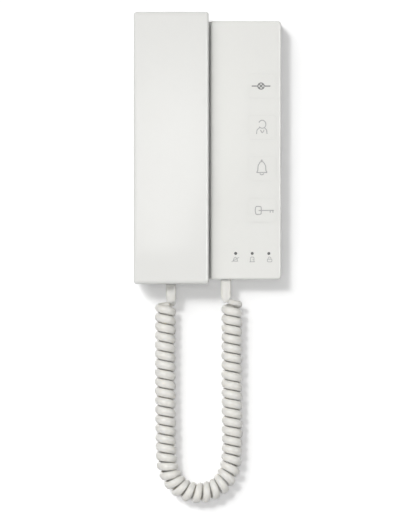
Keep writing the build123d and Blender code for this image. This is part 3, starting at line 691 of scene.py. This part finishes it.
@dataclass
class Studio:
    """A white wall behind the intercom, a pale floor well below it and plain soft light from the upper left."""

    camera_distance: float = 6.0
    camera_plane: float = -0.02
    sensor: float = 0.036
    card_plane: float = -3.04
    wall_gap: float = 0.0004
    wall_reach: float = 3.0
    wall_paint: float = 0.95
    wall_lift: float = 0.08
    floor_level: float = -0.62
    floor_depth: float = 3.0
    floor_paint: float = 0.82
    floor_lift: float = 0.16
    bright_side: Colour = (-0.25, -0.45, 0.77)
    ambient: float = 0.15
    ambient_tilt: float = 0.26
    bounce: float = 0.2

    def place_camera(self) -> None:
        """Put a long lens straight in front of the picture's middle."""
        lens = bpy.data.cameras.new("camera")
        lens.sensor_width = self.sensor * 1000
        lens.lens = self.sensor * 1000 * self.camera_distance / PICTURE_HEIGHT
        lens.clip_start, lens.clip_end = 0.1, 30.0
        stand = bpy.data.objects.new("camera", lens)
        stand.location = (PICTURE_X, self.camera_plane - self.camera_distance, PICTURE_Z)
        stand.rotation_euler = (math.radians(90), 0, 0)
        bpy.context.scene.collection.objects.link(stand)
        bpy.context.scene.camera = stand

    def light_world(self) -> None:
        """Give the world a soft glow, stronger from its bright side and the wall's side, and a white look."""
        world = bpy.data.worlds.new("studio")
        bpy.context.scene.world = world
        world.use_nodes = True
        bench = NodeBench(world.node_tree)
        way = bench.add("TexCoord").outputs["Generated"]
        side = bench.add("VectorMath", {"operation": "DOT_PRODUCT"})
        bench.feed(side, 0, way)
        bench.feed(side, 1, self.bright_side)
        tilt = bench.maths("MULTIPLY", side.outputs["Value"], self.ambient_tilt)
        wall_side = bench.add("SeparateXYZ", Vector=way).outputs["Y"]
        bounce = bench.maths("MULTIPLY", bench.ranged(wall_side, 0.0, 0.5, 0.0, 1.0), self.bounce)
        level = bench.maths("ADD", bench.maths("ADD", tilt, self.ambient), bounce)
        white = solid((1.0, 1.0, 1.0))
        glow = bench.add("Background", Color=white, Strength=level)
        seen = bench.add("Background", Color=white, Strength=1.0)
        rays = bench.add("LightPath").outputs
        direct = bench.maths("MAXIMUM", rays["Is Camera Ray"], rays["Is Glossy Ray"])
        direct = bench.maths("MAXIMUM", direct, rays["Is Transmission Ray"])
        bench.add("OutputWorld", Surface=bench.switched(direct, glow, seen))

    def surface(self, name: str, colour: float, lift: float) -> bpy.types.Material:
        """A matt white surface that is clear from behind.

        Args:
            name: The material's name.
            colour: Its grey level.
            lift: Light that it adds for the camera and the gloss, so that it looks white away from shadows.

        Returns:
            The material.
        """
        made, bench = blank_material(name)
        where = bench.add("TexCoord").outputs["Object"]
        mottle = bench.noise(where, scale=40.0, detail=6.0)
        paint = bench.mixed(mottle, solid((colour,) * 3), solid((colour * 0.99,) * 3))
        matt = bench.add("BsdfDiffuse", Color=paint)
        rays = bench.add("LightPath").outputs
        seen = bench.maths("MAXIMUM", rays["Is Camera Ray"], rays["Is Glossy Ray"])
        glow = bench.add("Emission", Strength=bench.maths("MULTIPLY", seen, lift))
        both = bench.add("AddShader")
        bench.feed(both, 0, matt.outputs[0])
        bench.feed(both, 1, glow.outputs[0])
        behind = bench.add("NewGeometry").outputs["Backfacing"]
        bench.add("OutputMaterial", Surface=bench.switched(behind, both, bench.add("BsdfTransparent")))
        return made

    def sheet(self, name: str, corners: list[Colour], material: bpy.types.Material) -> Piece:
        """Add one flat face of the room.

        Args:
            name: The object's name.
            corners: Its corners, turned so that its front looks into the room.
            material: Its material.

        Returns:
            The face's object.
        """
        mesh = bpy.data.meshes.new(name)
        mesh.from_pydata(corners, [], [tuple(range(len(corners)))])
        mesh.materials.append(material)
        face = bpy.data.objects.new(name, mesh)
        bpy.context.scene.collection.objects.link(face)
        return face

    def build(self) -> None:
        """Make the wall, the floor, the lamps and the cards."""
        reach, gap, low = self.wall_reach, self.wall_gap, self.floor_level
        front = gap - self.floor_depth
        wall = self.sheet(
            "wall", [(-reach, gap, low), (reach, gap, low), (reach, gap, reach), (-reach, gap, reach)],
            self.surface("wall paint", self.wall_paint, self.wall_lift))
        wall.visible_shadow = False
        wall.visible_diffuse = False
        floor = self.sheet(
            "floor", [(-reach, front, low), (reach, front, low), (reach, gap, low), (-reach, gap, low)],
            self.surface("floor", self.floor_paint, self.floor_lift))
        floor.visible_shadow = False
        for lamp in LAMPS:
            lamp.place()
        for card in CARDS:
            face = self.sheet(card.name, [(x, self.card_plane, z) for x, z in card.corners], card.material())
            face.visible_camera = False
            face.visible_diffuse = False
            face.visible_transmission = False
            face.visible_shadow = False
        self.light_world()
        bpy.context.scene.view_settings.view_transform = "Standard"


# The curly cord and its boots


@dataclass
class CurlyCord:
    """One wire that leaves the console's boot, hangs in a loop of curls and ends in the handset's boot."""

    # The jacket: its thickness, its width along the coil and inside the loop's bend, and its oval's fullness
    wire: float = 0.0042
    flat: float = 0.0062
    bent_flat: float = 0.0047
    fullness: float = 1.9
    # The most of the curls' spacing that it takes up, and what stays free beside that
    pitch_share: float = 0.97
    free: float = 0.0002
    # The coil: its width, its curls, its depth, and where in a turn it ends, in degrees
    coil: float = 0.0158
    turns: int = 46
    axis_y: float = -0.0172
    handset_turn: float = -18.7
    base_turn: float = -99.4
    # The loop's bend as shares of the route, and how much tighter its curls are
    tight_from: float = 0.30
    tight_to: float = 0.71
    tight: float = 0.07
    # How far the curls wander, in degrees, and each wave's rate, weight and phase
    wander: float = 1.5
    waves: tuple[tuple[float, float, float], ...] = ((57, 1.0, 0.0), (131, 0.6, 1.0))
    # The wire's bend from the coil up into its boot, and how round its curve is
    bend: float = 0.0055
    tail_handle: float = 0.55
    # How finely the wire is drawn
    steps: int = 36
    sides: int = 20
    bend_steps: int = 3
    tail_steps: int = 12
    plug_step: float = 0.002
    round_over: float = 0.0002
    # The route's control points, across and upwards, from the handset's end
    route: tuple[tuple[float, float], ...] = (
        (-0.0340, -0.0173), (-0.0343, -0.0733), (-0.0338, -0.1173), (-0.0332, -0.1451), (-0.0197, -0.1601),
        (0.0016, -0.1601), (0.0153, -0.1451), (0.0162, -0.1173), (0.0157, -0.0733), (0.0158, -0.0173),
    )

    def axis_points(self) -> list[Vector]:
        """Read the points of the route's smooth spline.

        Returns:
            Points along the coil's axis, from the handset's end.
        """
        curve = bpy.data.curves.new("cord route", "CURVE")
        curve.dimensions = "3D"
        curve.resolution_u = 48
        spline = curve.splines.new("NURBS")
        spline.points.add(len(self.route) - 1)
        for point, (x, z) in zip(spline.points, self.route):
            point.co = (CONSOLE_LEFT + x, self.axis_y, BASE_BOTTOM + z, 1.0)
        spline.order_u = 3
        spline.use_endpoint_u = True
        guide = bpy.data.objects.new("cord route", curve)
        bpy.context.scene.collection.objects.link(guide)
        bpy.context.view_layer.update()
        read = bpy.data.meshes.new_from_object(guide.evaluated_get(bpy.context.evaluated_depsgraph_get()))
        points = [vertex.co.copy() for vertex in read.vertices]
        bpy.data.meshes.remove(read)
        bpy.data.objects.remove(guide)
        bpy.data.curves.remove(curve)
        return points

    def bent(self, share: float) -> float:
        """How far into the loop's bend a share of the route lies, from 0 to 1."""
        return min(max((share - self.tight_from) / (self.tight_to - self.tight_from), 0.0), 1.0)

    def turned(self, share: float) -> float:
        """How much of the turning lies before a share of the route, with tighter turns in the loop's bend."""
        bent = self.bent(share)
        eased = bent / 2 - math.sin(2 * math.pi * bent) / (4 * math.pi)
        return share + self.tight * (self.tight_to - self.tight_from) * eased

    def curls(self) -> tuple[list[Vector], list[Vector]]:
        """The wire's centre through all its curls, from the handset's end.

        Returns:
            The points, evenly spaced along the axis, and at each the coil's direction, as long as the wire is wide.
        """
        sweep = 360 * self.turns + self.base_turn - self.handset_turn
        count = self.turns * self.steps
        axis, ways = Track(self.axis_points()).spread(count)
        radius = (self.coil - self.wire) / 2
        step = (axis[1] - axis[0]).length
        points: list[Vector] = []
        widths: list[Vector] = []
        for k, (middle, way) in enumerate(zip(axis, ways)):
            share = k / count
            wave = sum(weight * math.sin(rate * share + phase) for rate, weight, phase in self.waves)
            wander = self.wander * math.sin(math.pi * share) * wave
            angle = math.radians(self.handset_turn + sweep * self.turned(share) / self.turned(1.0) + wander)
            inward = Vector((-way.z, 0, way.x))
            back = Vector((0, 1, 0))
            offset = (inward * math.cos(angle) + back * math.sin(angle)) * radius
            near, far = max(k - self.bend_steps, 0), min(k + self.bend_steps, count)
            bend = (ways[far] - ways[near]) / (step * (far - near))
            rate = (self.turned((k + 1) / count) - self.turned((k - 1) / count)) * count / 2 / self.turned(1.0)
            pitch = step * count * 360 / (sweep * rate) * (1 - offset.dot(bend))
            eased = min(1.0, k / self.steps, (count - k) / self.steps)
            eased = eased * eased * (3 - 2 * eased)
            inner = (1 + offset.dot(inward) / radius) / 2 * math.sin(math.pi * self.bent(share)) ** 2
            flat = self.flat - (self.flat - self.bent_flat) * inner
            points.append(middle + offset)
            wide = min(flat, self.pitch_share * pitch - self.free)
            widths.append(way * (self.wire + (wide - self.wire) * eased))
        return points, widths

    def tail(self, start: Vector, way: Vector, foot: float) -> list[Vector]:
        """The wire from a coil's end up into its boot.

        Args:
            start: The coil's end.
            way: Direction that the wire leaves the coil in.
            foot: Height of the plug's foot, where the wire ends.

        Returns:
            Points that follow the coil's end, the last one at the plug's foot.
        """
        up = Vector((0, 0, 1))
        flat = Vector((way.x, way.y, 0)).normalized()
        mouth = start + (flat + up) * self.bend
        handle = self.bend * self.tail_handle
        lean, rise = start + way * handle, mouth - up * handle
        points = []
        for k in range(1, self.tail_steps + 1):
            t = k / self.tail_steps
            s = 1 - t
            points.append(start * s**3 + lean * 3 * s * s * t + rise * 3 * s * t * t + mouth * t**3)
        count = max(2, round((foot - mouth.z) / self.plug_step))
        points += [Vector((mouth.x, mouth.y, mouth.z + (foot - mouth.z) * k / count)) for k in range(1, count + 1)]
        return points

    def path(self) -> tuple[list[Vector], list[Vector]]:
        """The wire's whole centre line.

        Returns:
            Points from the console's plug to the handset's, and the wire's flat direction and width at each.
        """
        curls, widths = self.curls()
        first = self.tail(curls[0], (curls[0] - curls[1]).normalized(), HANDSET_PLUG_FOOT)
        last = self.tail(curls[-1], (curls[-1] - curls[-2]).normalized(), BASE_PLUG_FOOT)
        path = first[::-1] + curls + last
        widths = [widths[0]] * len(first) + widths + [widths[-1]] * len(last)
        return path[::-1], widths[::-1]

    def tube(self, path: list[Vector], widths: list[Vector]) -> Piece:
        """The wire's jacket along a path, flat where it is curled and round at its ends.

        Args:
            path: The wire's centre line.
            widths: Its flat direction at each point, as long as it is wide there.

        Returns:
            The jacket's object.
        """
        verts: list[Vector] = []
        across = Vector((1, 0, 0))
        for k, point in enumerate(path):
            way = (path[min(k + 1, len(path) - 1)] - path[max(k - 1, 0)]).normalized()
            wide = widths[k].length
            side_way = widths[k] - way * widths[k].dot(way)
            flatness = min(1.0, abs(wide - self.wire) / self.round_over)
            carried = (across - way * across.dot(way)).normalized()
            if side_way.dot(carried) < 0:
                side_way = -side_way
            across = (carried * (1 - flatness) + side_way.normalized() * flatness).normalized()
            verts += oval(point, across * wide / 2, way.cross(across) * self.wire / 2, self.fullness, self.sides)
        return mesh_piece("cord_wire", verts, loft_faces(len(path), self.sides))

    def build(self, boots: list[Piece], path: list[Vector], widths: list[Vector]) -> Piece:
        """Args:
            boots: The boots at its two ends; not used.
            path: The wire's centre line.
            widths: The wire's flat direction and width at each point.

        Returns:
            The cord's object.
        """
        cord = self.tube(path, widths)
        cord.data.materials.append(JACKET.material())
        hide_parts("curly_cord")
        length = Track(path).lengths[-1]
        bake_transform(cord)
        LOG.info("cord length %.3f m, %d points", length, len(path))
        return cord


@dataclass
class CordBoot:
    """A soft sleeve moulded round the wire, from its plug down into the start of the wire's bend."""

    name: str
    node: str
    body: str
    width: float = 0.0078
    thickness: float = 0.0064
    bore: float = 0.00212
    squareness: float = 4.0
    ring_points: int = 40
    reach: float = 0.0042
    shoulder: float = 0.0014
    step: float = 0.0001
    lip: float = 0.0009
    tip_width: float = 0.0077
    tip_thickness: float = 0.0063
    tip_squareness: float = 2.4
    side_rings: int = 10
    lip_rings: int = 6
    start_points: int = 30
    feel: float = 0.0008

    def sections(self, length: float) -> list[tuple[float, float]]:
        """Where the sleeve's rings sit and how far each is drawn in.

        Args:
            length: The sleeve's length along the wire.

        Returns:
            Each ring's distance from the plug and its drawing in.
        """
        rows = [(0.0, self.step), (self.step, 0.0), (self.shoulder, 0.0), (self.shoulder + self.step, self.step)]
        plain = length - self.shoulder - self.step - self.lip
        for k in range(1, self.side_rings + 1):
            share = k / self.side_rings
            rows.append((self.shoulder + self.step + plain * share, self.step * (1 - share)))
        for k in range(1, self.lip_rings + 1):
            angle = math.pi / 2 * k / self.lip_rings
            rows.append((length - self.lip * (1 - math.sin(angle)), self.lip * (1 - math.cos(angle))))
        return rows

    def build(self, line: list[Vector]) -> Piece:
        """Make the sleeve round the wire's end.

        Args:
            line: The wire's centre line, from the plug's foot down.

        Returns:
            The sleeve's object.
        """
        track = Track(line)
        start = line[:self.start_points]
        straight = max((point - line[0]).length for point in start if point.x == line[0].x)
        total = straight + self.reach
        rings = [self.ring(track, distance, distance / total, drawn) for distance, drawn in self.sections(total)]
        for distance in (total, straight, 0.0):
            across, other = self.frame(track, distance)
            rings.append(oval(track.at(distance), across * self.bore, other * self.bore, 2, self.ring_points))
        verts = [point for ring in rings for point in ring]
        sleeve = mesh_piece(self.name, verts, loft_faces(len(rings), self.ring_points, closed=True))
        sleeve.data.materials.append(JACKET.material())
        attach(sleeve, self.body)
        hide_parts(self.node)
        LOG.info("boot %s", self.name)
        return sleeve

    def frame(self, track: Track, distance: float) -> tuple[Vector, Vector]:
        """Two directions square to the wire.

        Args:
            track: The wire's line.
            distance: The distance from the plug.

        Returns:
            The direction across the sleeve's width and the one through its thickness.
        """
        way = track.way(distance, self.feel)
        other = Vector((0, 1, 0))
        other = (other - way * other.dot(way)).normalized()
        return other.cross(way), other

    def ring(self, track: Track, distance: float, share: float, drawn: float) -> list[Vector]:
        """A rounded rectangle round the wire.

        Args:
            track: The wire's line.
            distance: The ring's distance from the plug.
            share: How far down the sleeve it is, from 0 to 1.
            drawn: How far it is drawn in.

        Returns:
            The ring's points.
        """
        across, other = self.frame(track, distance)
        wide = (self.width + (self.tip_width - self.width) * share) / 2 - drawn
        thick = (self.thickness + (self.tip_thickness - self.thickness) * share) / 2 - drawn
        squareness = self.squareness + (self.tip_squareness - self.squareness) * share
        return oval(track.at(distance), across * wide, other * thick, squareness, self.ring_points)


# Printed signs on the keys and under the lights


def arc(x: float, z: float, across: float, up: float, start: float, end: float, steps: int = 28) -> Stroke:
    """Points of an elliptical arc.

    Args:
        x: Centre across.
        z: Centre upwards.
        across: Half width.
        up: Half height.
        start: First angle in degrees, counted from the right.
        end: Last angle in degrees.
        steps: How many steps to make.

    Returns:
        The arc's points.
    """
    angles = [math.radians(start + (end - start) * k / steps) for k in range(steps + 1)]
    return [(x + across * math.cos(a), z + up * math.sin(a)) for a in angles]


def rounded(points: Stroke, steps: int = 6) -> Stroke:
    """Round the corners of a run of points by cutting them again and again.

    Args:
        points: The run's corners.
        steps: Parts that each line is divided in, so that its middle stays straight.

    Returns:
        The softened run.
    """
    fine = [points[0]]
    for (ax, az), (bx, bz) in zip(points, points[1:]):
        fine += [(ax + (bx - ax) * k / steps, az + (bz - az) * k / steps) for k in range(1, steps + 1)]
    for _ in range(2):
        inner = [
            ((a[0] + 2 * b[0] + c[0]) / 4, (a[1] + 2 * b[1] + c[1]) / 4)
            for a, b, c in zip(fine, fine[1:], fine[2:])
        ]
        fine = [fine[0], *inner, fine[-1]]
    return fine


class Sign(Enum):
    """The generic signs on the console, each with its strokes in millimetres."""

    LAMP = [
        arc(0, 0, 2.3, 2.3, 0, 352, 44),
        rounded([(-1.6, -1.6), (1.6, 1.6)]),
        rounded([(-1.6, 1.6), (1.6, -1.6)]),
        rounded([(-7.0, 0), (-2.6, 0)]),
        rounded([(2.6, 0), (7.0, 0)]),
    ]
    PERSON = [
        arc(0.3, 2.4, 2.7, 3.0, 215, 515, 44),
        rounded([(-1.3, 0.2), (-3.6, -1.8), (-3.9, -4.9)]),
        rounded([(2.0, -0.2), (3.6, -1.9), (3.9, -4.9)]),
        rounded([(-1.1, -1.9), (0.4, -4.3), (1.7, -1.9)]),
    ]
    BELL = [
        rounded([
            (-3.9, -3.7), (-3.0, -2.2), (-2.8, 1.4), (-1.4, 4.0), (0.0, 4.6),
            (1.4, 4.0), (2.8, 1.4), (3.0, -2.2), (3.9, -3.7),
        ]),
        rounded([(-3.9, -3.7), (3.9, -3.7)]),
        arc(0, -4.2, 1.4, 1.2, 190, 350, 14),
        arc(0, 5.1, 0.55, 0.55, 0, 340, 14),
    ]
    KEY = [
        rounded([(-2.4, 0.4), (-2.6, 2.9), (-6.4, 3.1), (-7.0, 0.0), (-6.4, -3.1), (-2.6, -2.9), (-2.4, -0.4)]),
        rounded([(-4.4, 0.0), (7.0, 0.0)]),
        rounded([(4.3, 0.0), (4.3, -1.7)]),
        rounded([(6.3, 0.0), (6.3, -1.7)]),
    ]
    QUIET = [
        rounded([(-1.9, -1.3), (-1.4, -0.4), (-1.2, 0.8), (0.0, 1.8), (1.2, 0.8), (1.4, -0.4), (1.9, -1.3)]),
        rounded([(-1.9, -1.3), (1.9, -1.3)]),
        rounded([(-2.8, -1.7), (2.8, 1.7)]),
    ]
    DOOR = [
        rounded([(-1.3, -1.7), (-1.3, 1.8), (1.3, 1.8), (1.3, -1.7)]),
        rounded([(-2.0, -1.7), (2.0, -1.7)]),
        arc(0.6, 0.0, 0.15, 0.15, 0, 330, 8),
    ]
    LOCK = [
        rounded([(-1.7, 0.2), (-1.7, -1.8), (1.7, -1.8), (1.7, 0.2), (-1.7, 0.2)]),
        arc(0, 0.4, 1.1, 1.5, 5, 175, 16),
    ]


@dataclass
class PrintedSign:
    """One pad-printed sign, a thin film of ink on a face."""

    sign: Sign
    body: str
    x: float
    z: float
    line: float
    ink: InkFinish = SIGN_INK
    film: float = 0.00004
    sides: int = 8

    def build(self) -> Piece:
        """Lay the sign's strokes on the console's face.

        Returns:
            The sign's object.
        """
        verts: list[Vector] = []
        faces: list[tuple[int, ...]] = []
        for stroke in self.sign.value:
            first = len(verts)
            for k, (x, z) in enumerate(stroke):
                ahead, behind = stroke[min(k + 1, len(stroke) - 1)], stroke[max(k - 1, 0)]
                way = Vector((ahead[0] - behind[0], 0, ahead[1] - behind[1])).normalized()
                across = Vector((-way.z, 0, way.x)) * self.line / 2
                middle = Vector((self.x + x / 1000, CONSOLE_FACE, self.z + z / 1000))
                verts += oval(middle, across, Vector((0, -self.film, 0)), 2, self.sides)
            faces += loft_faces(len(stroke), self.sides, first)
        print_piece = mesh_piece(f"sign_{self.sign.name.lower()}", verts, faces)
        print_piece.data.materials.append(self.ink.material())
        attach(print_piece, self.body)
        LOG.info("sign %s", self.sign.name.lower())
        return print_piece


SIGNS = [
    PrintedSign(Sign.LAMP, "aux_button", 0.0386, 0.0480, 0.00085, DARK_INK),
    PrintedSign(Sign.PERSON, "guard_button", 0.0392, 0.0170, 0.00068),
    PrintedSign(Sign.BELL, "bell_button", 0.0392, -0.0130, 0.00068),
    PrintedSign(Sign.KEY, "door_button", 0.0412, -0.0451, 0.00068),
    PrintedSign(Sign.QUIET, "base", 0.0194, -0.0818, 0.00050),
    PrintedSign(Sign.DOOR, "base", 0.0320, -0.0818, 0.00050),
    PrintedSign(Sign.LOCK, "base", 0.0450, -0.0818, 0.00050),
]


def dress_frame() -> None:
    """Give each piece of the frame its finish."""
    for finish, names in NODE_FINISHES.items():
        material = finish.material()
        for name in names:
            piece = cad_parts[name]
            piece.data.materials.clear()
            piece.data.materials.append(material)
            LOG.info("dressed %s with %s", name, finish.name)


def main() -> None:
    """Build the scene in order: camera and cord first, then the signs, the finishes and the room."""
    logging.basicConfig(level=logging.INFO, format="%(message)s")
    studio = Studio()
    studio.place_camera()
    cord = CurlyCord()
    path, widths = cord.path()
    boots = [
        CordBoot("base_cord_boot", "base_boot", "base").build(path),
        CordBoot("handset_cord_boot", "handset_boot", "handset").build(path[::-1]),
    ]
    cord.build(boots, path, widths)
    for sign in SIGNS:
        sign.build()
    dress_frame()
    studio.build()


if __name__ == "__main__":
    main()
